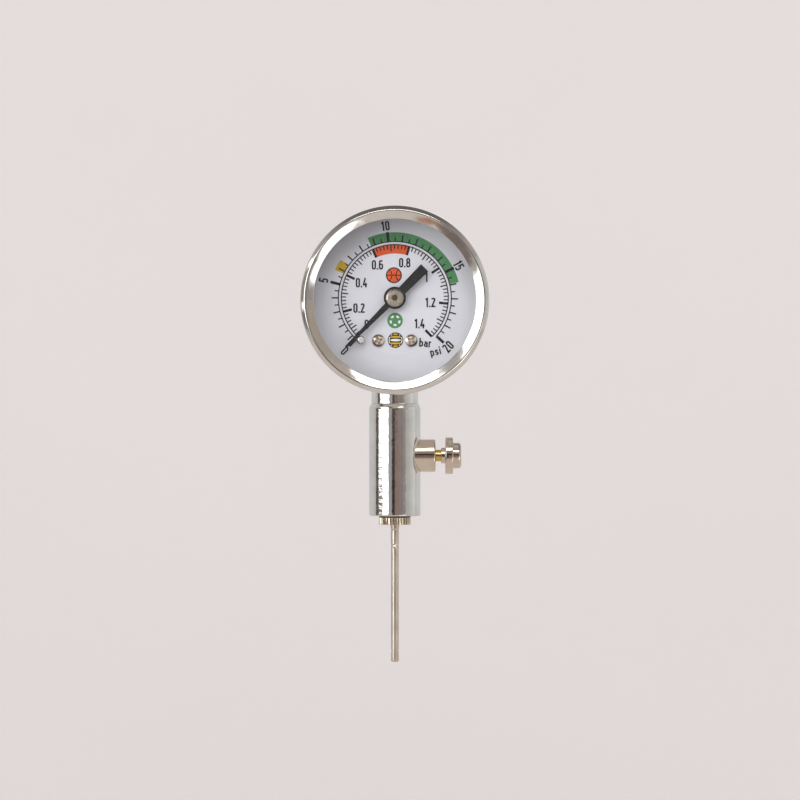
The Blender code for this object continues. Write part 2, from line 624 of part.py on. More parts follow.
# --------------------------------------------------------------------- the needle
def make_needle():
    ribs = []
    for k in range(KNURL_RIBS):
        pitch = 360 / KNURL_RIBS
        ribs.append(polar(COLLAR_R - KNURL_DEPTH, pitch * k))
        ribs.append(polar(COLLAR_R, pitch * (k + 0.3)))
        ribs.append(polar(COLLAR_R, pitch * (k + 0.7)))
    collar = flat("needle_collar", [ribs], 0, COLLAR_H, UPRIGHT, (0, 0, 0), nickel)
    shank = rod("needle_shank", SHANK_R, 1.0, SHANK_TOP, 32, UPRIGHT, (0, 0, 0), None)
    bore = rod("needle_bore", NEEDLE_BASE_R + 0.05, -1, SHANK_TOP + 1, 24, UPRIGHT, (0, 0, 0), None)
    combine(collar, shank, "UNION")
    combine(collar, bore, "DIFFERENCE")
    low = NEEDLE_TIP + 1.2
    profile = [(0, low), (NEEDLE_BORE, low), (NEEDLE_BORE, NEEDLE_TOP), (NEEDLE_R, NEEDLE_TOP)]
    profile += [(NEEDLE_R, -0.06), (NEEDLE_BASE_R, -0.06), (NEEDLE_BASE_R, -1.1), (NEEDLE_R, -1.25)]
    profile += [(NEEDLE_R, NEEDLE_TIP + 0.6), (0.7, NEEDLE_TIP + 0.2), (0.4, NEEDLE_TIP), (0, NEEDLE_TIP)]
    tube = turned("needle_tube", profile, 18, UPRIGHT, (0, 0, 0), nickel)
    port = rod("air_port", 0.38, -3, 3, 12, SIDEWAYS, (0, 0, NEEDLE_TIP + 2.4), None)
    combine(tube, port, "DIFFERENCE")
    ring("needle_seal", NEEDLE_BORE_R, 3.4, COLLAR_H + 0.05, STEM_LOW - 0.05, 32, UPRIGHT, (0, 0, 0), rubber)


# ----------------------------------------------------------------------- the part
clear_scene()
part = new_collection(NAME)
cutters = new_collection(NAME + "_cutters")
cutters.hide_render = True

chrome = new_material("chrome", (0.80, 0.80, 0.82), 0.12, 1.0)
nickel = new_material("nickel", (0.72, 0.66, 0.56), 0.28, 1.0)
brass = new_material("brass", (0.78, 0.58, 0.28), 0.32, 1.0)
bronze = new_material("bronze", (0.70, 0.45, 0.25), 0.35, 1.0)
steel = new_material("steel", (0.55, 0.55, 0.56), 0.30, 1.0)
white = new_material("dial_white", (0.82, 0.83, 0.85), 0.45, 0.0)
black = new_material("pointer_black", (0.02, 0.02, 0.02), 0.40, 0.0)
rubber = new_material("rubber", (0.04, 0.04, 0.04), 0.75, 0.0)
clear = new_material("clear_lens", (0.92, 0.94, 0.95), 0.05, 0.0)

make_case()
make_bezel()
make_lens()
make_dial()
make_dial_screws()
make_stop_pin()
make_pointer()
make_bushing()
make_arbor()
make_hairspring()
make_plates()
make_pillars()
make_movement_screws()
make_sector()
make_link()
make_bourdon_tube()
make_tube_tip()
make_socket()
make_stem()
make_neck()
make_valve()
make_button()
make_needle()
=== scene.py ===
"""The looks of a ball pressure gauge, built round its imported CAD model.

Lengths here are in millimetres, in the CAD frame: +Z runs up the stem, the dial faces -Y and the
bleed valve points along +X. A turned piece is a lathed profile of (radius, height, rounding)
corners, its height running along the piece's own axis: up the stem, out of the dial towards -Y, or
out of the valve along +X. Angles on the dial are in degrees, clockwise from straight up.
"""

import math

import bmesh
import bpy
from mathutils import Matrix, Vector


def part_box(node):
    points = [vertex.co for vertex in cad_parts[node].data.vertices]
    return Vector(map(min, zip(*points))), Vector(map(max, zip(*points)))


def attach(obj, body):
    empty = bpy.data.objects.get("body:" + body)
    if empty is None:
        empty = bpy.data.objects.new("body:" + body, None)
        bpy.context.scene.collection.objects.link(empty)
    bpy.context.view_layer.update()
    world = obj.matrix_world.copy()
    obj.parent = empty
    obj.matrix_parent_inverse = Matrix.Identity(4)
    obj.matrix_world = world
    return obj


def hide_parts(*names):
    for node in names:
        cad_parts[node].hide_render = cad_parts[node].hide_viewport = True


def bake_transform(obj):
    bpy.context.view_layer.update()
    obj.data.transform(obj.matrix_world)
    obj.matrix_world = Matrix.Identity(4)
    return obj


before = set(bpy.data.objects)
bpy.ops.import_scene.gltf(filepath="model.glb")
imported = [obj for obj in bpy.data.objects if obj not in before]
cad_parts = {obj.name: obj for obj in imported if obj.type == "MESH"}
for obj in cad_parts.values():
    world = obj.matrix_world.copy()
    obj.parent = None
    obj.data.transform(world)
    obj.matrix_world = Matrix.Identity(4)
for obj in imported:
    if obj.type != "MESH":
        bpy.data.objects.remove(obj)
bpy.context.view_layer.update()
MM = 0.001


# ------------------------------------------------------------- places read from the frame
def extent(node):
    """Lowest and highest corner of a CAD node, in millimetres."""
    low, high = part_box(node)
    return low / MM, high / MM


def middle(node):
    low, high = extent(node)
    return (low + high) / 2


def fronts(node):
    """How far a dial-side node's back and front stand out of the stem's axis, towards the viewer."""
    low, high = extent(node)
    return -high.y, -low.y


UPRIGHT = Matrix.Identity(4)
FRONTAL = Matrix.Rotation(math.pi / 2, 4, "X")
SIDEWAYS = Matrix.Rotation(math.pi / 2, 4, "Y")

BEZEL_R = (extent("bezel")[1].x - extent("bezel")[0].x) / 2
CASE_AXIS = Vector((0, 0, middle("bezel").z))
DIAL_AXIS = Vector((0, 0, middle("dial_plate").z))
VALVE_AXIS = Vector((0, 0, middle("valve_body").z))
DIAL_FACE = fronts("dial_plate")[1]
ORIGIN = Vector((0, 0, 0))

ARC_STEP = 9  # degrees between the points of a rounded corner
GAP = 0.1  # between pieces that touch


# ------------------------------------------------------------------------- mesh building
def polar(radius, degrees, centre=(0, 0)):
    a = math.radians(degrees)
    return (centre[0] + radius * math.sin(a), centre[1] + radius * math.cos(a))


def arc(radius, start, end, steps, centre=(0, 0)):
    return [polar(radius, start + (end - start) * k / steps, centre) for k in range(steps + 1)]


def circle(radius, steps, centre=(0, 0)):
    return arc(radius, 0, 360, steps, centre)[:-1]


def rounded(corners):
    """The profile's corners as points, each rounding drawn as an arc."""
    points = []
    for i, corner in enumerate(corners):
        here = Vector(corner[:2])
        if len(corner) < 3:
            points.append(here)
            continue
        before = Vector(corners[i - 1][:2]) - here
        after = Vector(corners[(i + 1) % len(corners)][:2]) - here
        half = before.angle(after) / 2
        reach = min(corner[2] / math.tan(half), 0.49 * before.length, 0.49 * after.length)
        centre = here + (before.normalized() + after.normalized()).normalized() * reach / math.cos(half)
        start = here + before.normalized() * reach - centre
        end = here + after.normalized() * reach - centre
        sweep_angle = math.atan2(start.x * end.y - start.y * end.x, start.dot(end))
        steps = max(2, math.ceil(abs(math.degrees(sweep_angle)) / ARC_STEP))
        for k in range(steps + 1):
            a = sweep_angle * k / steps
            cosine, sine = math.cos(a), math.sin(a)
            turned = (start.x * cosine - start.y * sine, start.x * sine + start.y * cosine)
            points.append(centre + Vector(turned))
    return points


def lathed(corners, steps, shape=None):
    """Vertices and faces of a turned solid. shape(turn, radius, height) may change a radius."""
    profile = rounded(corners)
    verts, rings = [], []
    for radius, height in profile:
        if radius < 1e-6:
            rings.append([len(verts)])
            verts.append((0, 0, height))
            continue
        rings.append(list(range(len(verts), len(verts) + steps)))
        for k in range(steps):
            a = 2 * math.pi * k / steps
            r = shape(k / steps, radius, height) if shape else radius
            verts.append((r * math.cos(a), r * math.sin(a), height))
    faces = []
    pairs = list(zip(rings, rings[1:]))
    if len(rings[0]) > 1:
        pairs.append((rings[-1], rings[0]))
    for one, other in pairs:
        for k in range(steps):
            n = k + 1
            face = [one[k % len(one)], one[n % len(one)], other[n % len(other)], other[k % len(other)]]
            face = list(dict.fromkeys(face))
            if len(face) > 2:
                faces.append(face)
    return verts, faces


def prism(outline, low, high, foot=1.0):
    """A closed prism over an outline without holes. foot scales its low end, for a taper."""
    count = len(outline)
    verts = [(x * foot, y * foot, low) for x, y in outline] + [(x, y, high) for x, y in outline]
    faces = [list(range(count - 1, -1, -1)), list(range(count, 2 * count))]
    for k in range(count):
        n = (k + 1) % count
        faces.append([k, n, count + n, count + k])
    return verts, faces


def band(inner, outer, start, end, low, high):
    """A closed arc-shaped prism between two radii and two angles."""
    steps = max(1, math.ceil((end - start) / 3))
    outline = arc(outer, start, end, steps) + arc(inner, end, start, steps)
    return prism(outline, low, high)


def tick(inner, outer, degrees, width, low, high):
    """A straight radial stroke."""
    a = math.radians(degrees)
    side = Vector((math.cos(a), -math.sin(a))) * width / 2
    near, far = Vector(polar(inner, degrees)), Vector(polar(outer, degrees))
    return prism([near - side, far - side, far + side, near + side], low, high)


def swept(path, section, up, inner=None):
    """A section carried along a path, capped at both ends. inner is a second outline, for a tube."""
    verts, faces = [], []
    up = Vector(up)
    path = [Vector(p) for p in path]
    outlines = [section, inner] if inner else [section]
    count = len(section)
    for outline in outlines:
        for i, point in enumerate(path):
            along = (path[min(i + 1, len(path) - 1)] - path[max(i - 1, 0)]).normalized()
            side = along.cross(up).normalized()
            rise = side.cross(along)
            verts += [point + side * x + rise * y for x, y in outline]
    for layer in range(len(outlines)):
        base = layer * len(path) * count
        for i in range(len(path) - 1):
            for k in range(count):
                n = (k + 1) % count
                a, b = base + i * count, base + (i + 1) * count
                faces.append([a + k, a + n, b + n, b + k])
    last = (len(path) - 1) * count
    if inner:
        hollow = len(path) * count
        for start in (0, last):
            for k in range(count):
                n = (k + 1) % count
                faces.append([start + k, start + n, hollow + start + n, hollow + start + k])
    else:
        faces += [list(range(count)), list(range(last, last + count))]
    return verts, faces


def moved(solid, turn, centre):
    verts, faces = solid
    place = Matrix.Translation(centre) @ turn
    return [place @ Vector(v) for v in verts], faces


def joined(solids):
    """Several solids as one list of vertices and faces."""
    verts, faces = [], []
    for more_verts, more_faces in solids:
        start = len(verts)
        verts += [Vector(v) for v in more_verts]
        faces += [[start + k for k in face] for face in more_faces]
    return verts, faces


def mesh_object(name, solid, turn=UPRIGHT, centre=ORIGIN):
    verts, faces = moved(solid, turn, centre)
    mesh = bpy.data.meshes.new(name)
    mesh.from_pydata([v * MM for v in verts], [], faces)
    bm = bmesh.new()
    bm.from_mesh(mesh)
    bmesh.ops.recalc_face_normals(bm, faces=bm.faces)
    bm.to_mesh(mesh)
    bm.free()
    made = bpy.data.objects.new(name, mesh)
    bpy.context.scene.collection.objects.link(made)
    return made


def cut(target, *tools):
    """Cuts the tools out of the target and removes them."""
    for tool in tools:
        step = target.modifiers.new("cut", "BOOLEAN")
        step.operation = "DIFFERENCE"
        step.solver = "EXACT"
        step.object = tool
    bpy.context.view_layer.update()
    evaluated = target.evaluated_get(bpy.context.evaluated_depsgraph_get())
    mesh = bpy.data.meshes.new_from_object(evaluated)
    target.modifiers.clear()
    target.data = mesh
    for tool in tools:
        bpy.data.objects.remove(tool)
    return target


def finish_piece(made, material, body, stands_for=(), smooth_below=35):
    """Gives a new piece its material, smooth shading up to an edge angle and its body."""
    made.data.materials.clear()
    made.data.materials.append(material)
    made.data.shade_smooth()
    made.data.set_sharp_from_angle(angle=math.radians(smooth_below))
    weighted = made.modifiers.new("face_weighted", "WEIGHTED_NORMAL")
    weighted.keep_sharp = True
    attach(made, body)
    if stands_for:
        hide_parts(*stands_for)
    return made


# ----------------------------------------------------------------------------- materials
class Finish:
    """A procedural material whose patterns are measured in millimetres from a centre."""

    def __init__(self, name, centre=ORIGIN):
        self.material = bpy.data.materials.new(name)
        self.material.use_nodes = True
        self.tree = self.material.node_tree
        self.shader = self.tree.nodes["Principled BSDF"]
        coordinates = self.node("TexCoord")
        self.place = self.node("Mapping", Vector=coordinates.outputs["Object"])
        self.place.inputs["Scale"].default_value = (1 / MM,) * 3
        self.place.inputs["Location"].default_value = -Vector(centre)
        self.relief = None

    def node(self, kind, settings=None, **inputs):
        made = self.tree.nodes.new("ShaderNode" + kind)
        for key, value in (settings or {}).items():
            setattr(made, key, value)
        for key, value in inputs.items():
            self.set(made.inputs[key.replace("_", " ")], value)
        return made

    def set(self, socket, value):
        if isinstance(value, bpy.types.NodeSocket):
            self.tree.links.new(value, socket)
        else:
            socket.default_value = value

    def noise(self, size, detail=2.0, stretch=(1, 1, 1), twist=0.0):
        """Noise with features of about this size, drawn out along the axes whose stretch is large."""
        squeezed = self.node("Mapping", Vector=self.place.outputs[0])
        squeezed.inputs["Scale"].default_value = [1 / s for s in stretch]
        made = self.node("TexNoise", Vector=squeezed.outputs[0], Scale=1 / size, Detail=detail)
        made.inputs["Distortion"].default_value = twist
        return made.outputs["Fac"]

    def specks(self, spacing, size):
        """Scattered round specks: 1 in a speck and 0 elsewhere."""
        cells = self.node("TexVoronoi", Vector=self.place.outputs[0], Scale=1 / spacing)
        return self.between(cells.outputs["Distance"], size / spacing, 0.5 * size / spacing, 0, 1)

    def rings(self, size, axis):
        """Turned or drawn rings across an axis, X, Y or Z, uneven as cutting marks are."""
        stretch = [60, 60, 60]
        stretch["XYZ".index(axis)] = 1
        return self.noise(size, 3.0, stretch)

    def between(self, value, low, high, to_low, to_high):
        made = self.node("MapRange", Value=value)
        limits = {"From Min": low, "From Max": high, "To Min": to_low, "To Max": to_high}
        for key, number in limits.items():
            made.inputs[key].default_value = number
        return made.outputs[0]

    def times(self, a, b):
        made = self.node("Math", {"operation": "MULTIPLY"})
        self.set(made.inputs[0], a)
        self.set(made.inputs[1], b)
        return made.outputs[0]

    def plus(self, a, b):
        made = self.node("Math", {"operation": "ADD", "use_clamp": True})
        self.set(made.inputs[0], a)
        self.set(made.inputs[1], b)
        return made.outputs[0]

    def mix(self, factor, one, other):
        made = self.node("Mix", {"data_type": "RGBA"})
        self.set(made.inputs[0], factor)
        self.set(made.inputs[6], one)
        self.set(made.inputs[7], other)
        return made.outputs[2]

    def bump(self, height, depth):
        """Adds relief of this depth in millimetres to what is there already."""
        made = self.node("Bump", Height=height, Distance=depth * MM)
        if self.relief:
            self.tree.links.new(self.relief, made.inputs["Normal"])
        self.relief = made.outputs[0]
        self.set(self.shader.inputs["Normal"], self.relief)

    def edges(self, start, end):
        """1 on outside edges and 0 on flat faces, from the mesh's own sharpness."""
        geometry = self.node("NewGeometry")
        return self.between(geometry.outputs["Pointiness"], start, end, 0, 1)


def colour(r, g, b):
    return (r, g, b, 1)


def metal(name, bright, dull, rough, axis=None, ring=0.12, ring_depth=0.0004, waviness=0.0005,
          ripple=0, centre=ORIGIN):
    """Bare or plated metal: cloudy tone, smudged gloss, worn edges, pits and, along axis, tool marks.

    rough is the least and most roughness. ripple is the depth of the broader unevenness under thin
    plating, which frays a reflection's edges.
    """
    made = Finish(name, centre)
    clouds = made.noise(4.0, 3.0)
    tone = made.mix(made.between(clouds, 0.35, 0.65, 0, 1), colour(*bright), colour(*dull))
    worn = made.edges(0.52, 0.60)
    edge = colour(*[min(1, c * 1.12 + 0.03) for c in bright])
    made.set(made.shader.inputs["Base Color"], made.mix(made.times(worn, 0.6), tone, edge))
    smudge = made.between(made.noise(1.6, 5.0, twist=0.6), 0.4, 0.75, *rough)
    scuff = made.times(made.specks(0.9, 0.07), 0.25)
    roughness = made.plus(made.plus(smudge, scuff), made.times(worn, 0.05))
    made.set(made.shader.inputs["Roughness"], roughness)
    made.shader.inputs["Metallic"].default_value = 1.0
    made.bump(made.noise(0.35, 2.0), waviness)
    made.bump(made.noise(0.05, 1.0), waviness * 0.12)
    if ripple:
        made.bump(made.noise(0.75, 3.0), ripple)
    if axis:
        made.bump(made.rings(ring, axis), ring_depth)
    return made.material


def enamel(name, base, tint, rough=0.38, shine=0.5):
    """Sprayed or printed paint: slight tone changes, orange peel and a few dust specks."""
    made = Finish(name, DIAL_AXIS)
    clouds = made.between(made.noise(5.0, 4.0), 0.3, 0.7, 0, 1)
    dust = made.specks(2.3, 0.05)
    tone = made.mix(clouds, colour(*base), colour(*tint))
    dark = colour(*[c * 0.6 for c in base])
    made.set(made.shader.inputs["Base Color"], made.mix(made.times(dust, 0.5), tone, dark))
    gloss = made.between(made.noise(0.8, 3.0), 0.3, 0.7, rough - 0.06, rough + 0.06)
    made.set(made.shader.inputs["Roughness"], gloss)
    made.shader.inputs["Specular IOR Level"].default_value = shine
    made.bump(made.noise(0.45, 2.0), 0.0012)
    made.bump(made.noise(0.06, 1.0), 0.0003)
    return made.material


def rubber(name):
    made = Finish(name)
    clouds = made.between(made.noise(1.2, 4.0), 0.3, 0.7, 0, 1)
    tone = made.mix(clouds, colour(0.028, 0.027, 0.026), colour(0.05, 0.048, 0.045))
    made.set(made.shader.inputs["Base Color"], tone)
    made.set(made.shader.inputs["Roughness"], made.between(made.noise(0.3, 3.0), 0.3, 0.7, 0.6, 0.85))
    made.bump(made.noise(0.12, 3.0), 0.004)
    return made.material


def clear_plastic(name):
    """The lens: clear, with hairline scratches that show only where they catch a light."""
    made = Finish(name, CASE_AXIS)
    made.shader.inputs["Base Color"].default_value = colour(0.985, 0.99, 0.99)
    made.shader.inputs["Transmission Weight"].default_value = 1.0
    made.shader.inputs["Roughness"].default_value = 0.02
    made.shader.inputs["IOR"].default_value = 1.49
    hair = made.noise(0.25, 1.0, stretch=(26, 1, 1.5), twist=0.4)
    made.bump(made.between(hair, 0.70, 0.74, 0, 1), 0.0004)
    return made.material


CHROME = metal("chrome", (0.83, 0.82, 0.81), (0.77, 0.755, 0.74), (0.10, 0.19), waviness=0.0008)
STEM_CHROME = metal(
    "stem_chrome", (0.83, 0.82, 0.81), (0.76, 0.745, 0.73), (0.05, 0.13),
    axis="Z", ring=0.16, ring_depth=0.0003, waviness=0.003, ripple=0.022)
VALVE_NICKEL = metal(
    "valve_nickel", (0.77, 0.68, 0.59), (0.69, 0.60, 0.51), (0.07, 0.16),
    axis="X", ring=0.10, ring_depth=0.0006, centre=VALVE_AXIS)
NEEDLE_SATIN = metal(
    "needle_satin", (0.76, 0.69, 0.61), (0.66, 0.58, 0.49), (0.30, 0.46), axis="Z", ring=0.3)
NEEDLE_NICKEL = metal(
    "needle_nickel", (0.80, 0.71, 0.58), (0.70, 0.60, 0.46), (0.14, 0.28), axis="Z", ring=0.3)
SCREW_NICKEL = metal(
    "screw_nickel", (0.72, 0.64, 0.54), (0.55, 0.46, 0.37), (0.12, 0.26), centre=DIAL_AXIS)
BUSHING_NICKEL = metal(
    "bushing_nickel", (0.43, 0.375, 0.31), (0.36, 0.31, 0.25), (0.26, 0.38), centre=DIAL_AXIS)
# Painted shade: the arbor's end is coloured near black. This is partly the dark oxidised steel of the
# arbor and partly painted shade for the shadow in the bushing's bore round it.
ARBOR_STEEL_WITH_PAINTED_SHADE = metal(
    "arbor_steel_painted_shade", (0.09, 0.07, 0.055), (0.05, 0.04, 0.035), (0.2, 0.35), centre=DIAL_AXIS)
BRASS = metal("brass", (0.80, 0.60, 0.27), (0.68, 0.48, 0.19), (0.20, 0.36))
NECK_BRASS = metal(
    "valve_brass", (0.70, 0.52, 0.18), (0.60, 0.43, 0.13), (0.16, 0.28),
    axis="X", ring=0.10, centre=VALVE_AXIS)
BRONZE = metal("bronze", (0.72, 0.47, 0.27), (0.60, 0.37, 0.20), (0.22, 0.38))
STEEL = metal("steel", (0.62, 0.61, 0.60), (0.50, 0.49, 0.48), (0.18, 0.34))
DIAL_WHITE = enamel("dial_white", (0.70, 0.71, 0.76), (0.68, 0.685, 0.74), 0.42, 0.3)
INK_BLACK = enamel("ink_black", (0.004, 0.004, 0.005), (0.006, 0.006, 0.007), 0.5, 0.06)
INK_GREEN = enamel("ink_green", (0.060, 0.235, 0.085), (0.075, 0.265, 0.10), 0.5, 0.15)
INK_ORANGE = enamel("ink_orange", (0.74, 0.10, 0.016), (0.68, 0.085, 0.014), 0.5, 0.15)
INK_YELLOW = enamel("ink_yellow", (0.64, 0.42, 0.005), (0.58, 0.38, 0.005), 0.5, 0.15)
INK_WHITE = enamel("ink_white", (0.84, 0.86, 0.86), (0.80, 0.82, 0.82), 0.5, 0.15)
POINTER_BLACK = enamel("pointer_black", (0.005, 0.005, 0.006), (0.009, 0.009, 0.010), 0.40, 0.14)
RUBBER = rubber("black_rubber")
LENS = clear_plastic("clear_lens")


# ---------------------------------------------------------------- case, bezel and lens
def rod(radius, low, high):
    """The profile of a plain pin or hole."""
    return [(0, low), (radius, low), (radius, high), (0, high)]


def make_case():
    """A pressed cup, with a hole at the bottom where the socket's nipple leaves it."""
    back, rim = fronts("case")
    outer, wall, entry = extent("case")[1].x, 0.8, 4.1
    inner = outer - wall
    corners = [(0, back + wall), (inner, back + wall, 0.9), (inner, rim, 0.15)]
    corners += [(outer, rim, 0.2), (outer, back, 1.4), (0, back)]
    case = mesh_object("case_shell", lathed(corners, 160), FRONTAL, CASE_AXIS)
    cut(case, mesh_object("entry", lathed(rod(entry, 26, 34), 64)))
    finish_piece(case, CHROME, "gauge", ["case"])


def make_bezel():
    """Its face dishes in towards the lens, and its outer edge rolls over broadly to the skirt."""
    skirt, front = fronts("bezel")
    lip = fronts("lens")[1] + GAP
    inside = extent("case")[1].x + 0.08
    opening, bend, crest = 17.2, 18.4, 19.05
    corners = [(opening, lip), (opening, front - 0.73, 0.12), (bend, front - 0.21, 8)]
    corners += [(crest, front + 0.02, 0.4), (BEZEL_R, front - 0.62, 0.7)]
    corners += [(BEZEL_R, skirt, 0.12), (inside, skirt, 0.04), (inside, lip)]
    bezel = mesh_object("bezel_ring", lathed(corners, 256), FRONTAL, CASE_AXIS)
    finish_piece(bezel, CHROME, "gauge", ["bezel"])


def make_lens():
    back, front = fronts("lens")
    outer = extent("lens")[1].x
    corners = [(0, back), (outer, back, 0.1), (outer, front, 0.15), (0, front)]
    lens = mesh_object("lens_disc", lathed(corners, 128), FRONTAL, CASE_AXIS)
    finish_piece(lens, LENS, "gauge", ["lens"])
    lens.visible_shadow = False


# --------------------------------------------------------------------- the dial's print
PAINT = (DIAL_FACE + 0.006, DIAL_FACE + 0.016)  # the bottom and top of the coloured paint
INK = (DIAL_FACE + 0.022, DIAL_FACE + 0.036)  # and of the ink over it
RING_RADII = (11.37, 12.02)  # the bar scale's ring and the psi scale's
RING_WIDTH = 0.23
ZERO_DEG = -136.5


def psi_deg(psi):
    """Where a pressure is on the outer scale."""
    return -6.5 + 13.9 * (psi - 10)


def bar_deg(bar):
    """Where a pressure is on the inner scale."""
    return 15.7 + 201 * (bar - 0.8)


def stroke(points, width, closed=False):
    """A ribbon of ink of even width along a line of points, or round a loop of them."""
    points = [Vector(p) for p in points]
    count = len(points)
    verts, faces = [], []
    for k, point in enumerate(points):
        arriving = point - points[k - 1]
        leaving = points[(k + 1) % count] - point
        if not closed and k == 0:
            arriving = leaving
        if not closed and k == count - 1:
            leaving = arriving
        along = (arriving.normalized() + leaving.normalized()).normalized()
        reach = width / 2 / max(0.5, along.dot(leaving.normalized()))
        side = Vector((along.y, -along.x)) * reach
        low, high = INK
        verts += [(*(point + side), low), (*(point - side), low)]
        verts += [(*(point - side), high), (*(point + side), high)]
    for i in range(count if closed else count - 1):
        one, other = 4 * i, 4 * ((i + 1) % count)
        for k in range(4):
            n = (k + 1) % 4
            faces.append([one + k, one + n, other + n, other + k])
    if not closed:
        last = 4 * (count - 1)
        faces += [[0, 1, 2, 3], [last, last + 1, last + 2, last + 3]]
    return verts, faces


PEN = 0.33  # width of a character's stroke
HALF = 0.29  # half the width of a digit, to the middle of its strokes
TALL = 1.70  # height of a digit, to the middle of its strokes
SMALL = 1.02  # and of a small letter
LETTER_GAP = 0.19


def loop(low, high, half):
    """A closed upright oval with straight sides."""
    return arc(half, -90, 90, 8, (0, high - half)) + arc(half, 90, 270, 8, (0, low + half)), True


def glyphs():
    """Narrow characters as the middle lines of their strokes, each with whether it closes."""
    end = PEN / 2
    top = (0, TALL - HALF)
    arch = (0, SMALL - HALF)
    foot = (0, HALF)
    flag = [(-0.24, TALL - 0.3), (0.06, TALL - 0.02)]
    two = arc(HALF, -80, 120, 12, top) + [(-HALF + 0.02, 0), (HALF + end, 0)]
    five = [(HALF + 0.04, TALL), (-HALF, TALL), (-HALF, 0.86)]
    five += arc(HALF, -50, 90, 8, (0, 0.71)) + arc(HALF, 90, 255, 8, foot)
    six = [(-HALF, 0.5)] + arc(HALF, -90, 65, 9, top)
    shoulder = arc(0.3, -70, 25, 6, (0.1, SMALL - 0.3))
    curl = arc(0.26, 75, -110, 10, (0, SMALL - 0.26)) + arc(0.26, 70, 255, 10, (0, 0.26))
    return {
        "0": [loop(0, TALL, HALF)],
        "1": [([(0.1, -end), (0.1, TALL + end)], False), (flag, False)],
        "2": [(two, False)],
        "4": [([(0.06, TALL + end), (-HALF - 0.04, 0.42), (HALF + 0.15, 0.42)], False),
              ([(0.18, 0.85), (0.18, -end)], False)],
        "5": [(five, False)],
        "6": [loop(0, 1.0, HALF), (six, False)],
        "8": [loop(0, 0.88, HALF + 0.01), loop(0.88, TALL, HALF - 0.04)],
        ".": [([(0, -end), (0, end)], False)],
        "b": [loop(0, SMALL, HALF), ([(-HALF, -end), (-HALF, TALL + end)], False)],
        "a": [loop(0, 0.62, HALF), (arc(HALF, -70, 90, 8, arch) + [(HALF, -end)], False)],
        "r": [([(-0.2, -end), (-0.2, SMALL + end)], False), (shoulder, False)],
        "p": [loop(0, SMALL, HALF), ([(-HALF, -0.6), (-HALF, SMALL + end)], False)],
        "s": [(curl, False)],
        "i": [([(0, -end), (0, SMALL + end)], False), ([(0, 1.4), (0, 1.4 + PEN)], False)],
    }


GLYPHS = glyphs()
GLYPH_WIDTHS = {"1": 0.66, ".": 0.22, "i": PEN, "r": 0.66}
DIGIT_WIDTH = 2 * HALF + PEN


def lettering(text, centre, degrees=0, size=1.0):
    """A line of characters about a point, turned clockwise."""
    widths = [GLYPH_WIDTHS.get(letter, DIGIT_WIDTH) for letter in text]
    x = -(sum(widths) + LETTER_GAP * (len(text) - 1)) / 2
    turn = Matrix.Rotation(math.radians(-degrees), 2)
    solids = []
    for letter, width in zip(text, widths):
        for points, closed in GLYPHS[letter]:
            middles = [Vector((x + width / 2 + px, py - TALL / 2)) * size for px, py in points]
            placed = [turn @ point + Vector(centre) for point in middles]
            solids.append(stroke(placed, PEN * size, closed))
        x += width + LETTER_GAP
    return joined(solids)


def scale_rings():
    """Each ring ends at its own scale's last number."""
    half = RING_WIDTH / 2
    solids = []
    for radius, end in zip(RING_RADII, (bar_deg(1.4), psi_deg(20))):
        solids.append(band(radius - half, radius + half, ZERO_DEG, end, *INK))
    return solids


def psi_ticks():
    """One at zero and one each half psi from 1 psi up. Each fifth psi has a longer one."""
    solids = []
    for half in range(41):
        if half == 1:
            continue
        degrees = psi_deg(half / 2) if half else ZERO_DEG
        if half % 10 == 0:
            outer, width = 14.1, 0.6
        elif half % 2 == 0:
            outer, width = 13.45, 0.3
        else:
            outer, width = 12.9, 0.26
        solids.append(tick(RING_RADII[1], outer, degrees, width, *INK))
    return solids


def bar_ticks():
    """One each 0.02 bar, from 0.06 bar up."""
    solids = []
    for step in range(3, 71):
        degrees = bar_deg(step / 50)
        if step % 10 == 0:
            inner, width = 9.45, 0.53
        elif step % 5 == 0:
            inner, width = 9.95, 0.27
        else:
            inner, width = 10.4, 0.24
        solids.append(tick(inner, RING_RADII[0], degrees, width, *INK))
    return solids


def numbers():
    """The psi scale's numbers follow its ring, its ends upside down. The bar scale's are level."""
    upper = (("5", psi_deg(5), 15.6), ("10", psi_deg(10) - 1, 15.45), ("15", psi_deg(15), 15.25))
    lower = (("0", ZERO_DEG, 15.5), ("20", psi_deg(20), 15.35))
    level = {"0.2": (-7.62, -2.15), "0.4": (-7.1, 3.25), "0.6": (-3.7, 7.05), "0.8": (2.1, 7.5)}
    level |= {"1": (6.7, 4.4), "1.2": (7.55, -0.95), "1.4": (5.25, -5.45), "0": (-6.0, -5.62)}
    solids = []
    for text, degrees, radius in upper:
        solids.append(lettering(text, polar(radius, degrees), degrees))
    for text, degrees, radius in lower:
        solids.append(lettering(text, polar(radius, degrees), degrees - 180))
    for text, centre in level.items():
        solids.append(lettering(text, centre))
    solids.append(lettering("bar", (6.5, -9.5), 4, 0.92))
    solids.append(lettering("psi", (8.6, -11.3), -13, 0.9))
    return solids


def oval(centre, across, high, degrees=0):
    """An ellipse's outline, turned clockwise about its own centre."""
    turn = Matrix.Rotation(math.radians(-degrees), 2)
    return [turn @ Vector((x * across, y * high)) + Vector(centre) for x, y in circle(1, 32)]


BASKETBALL = Vector((-0.2, 4.83))
FOOTBALL = Vector((0.05, -4.8))
VOLLEYBALL = Vector((0.15, -8.97))
BALL_R = 1.68


def shifted(solid, offset):
    verts, faces = solid
    return [(x + offset.x, y + offset.y, z) for x, y, z in verts], faces


def basketball_lines():
    """The ball's outline, its level seam and the two seams that curve away from it."""
    seam, reach = 0.19, BALL_R - 0.1
    lines = [stroke(circle(reach, 48), 0.24, True), stroke([(-reach, 0), (reach, 0)], seam)]
    for side in (-1, 1):
        lines.append(stroke(arc(1.4, side * 30, side * 150, 16, (-side * 1.83, 0)), seam))
    return [shifted(line, BASKETBALL) for line in lines]


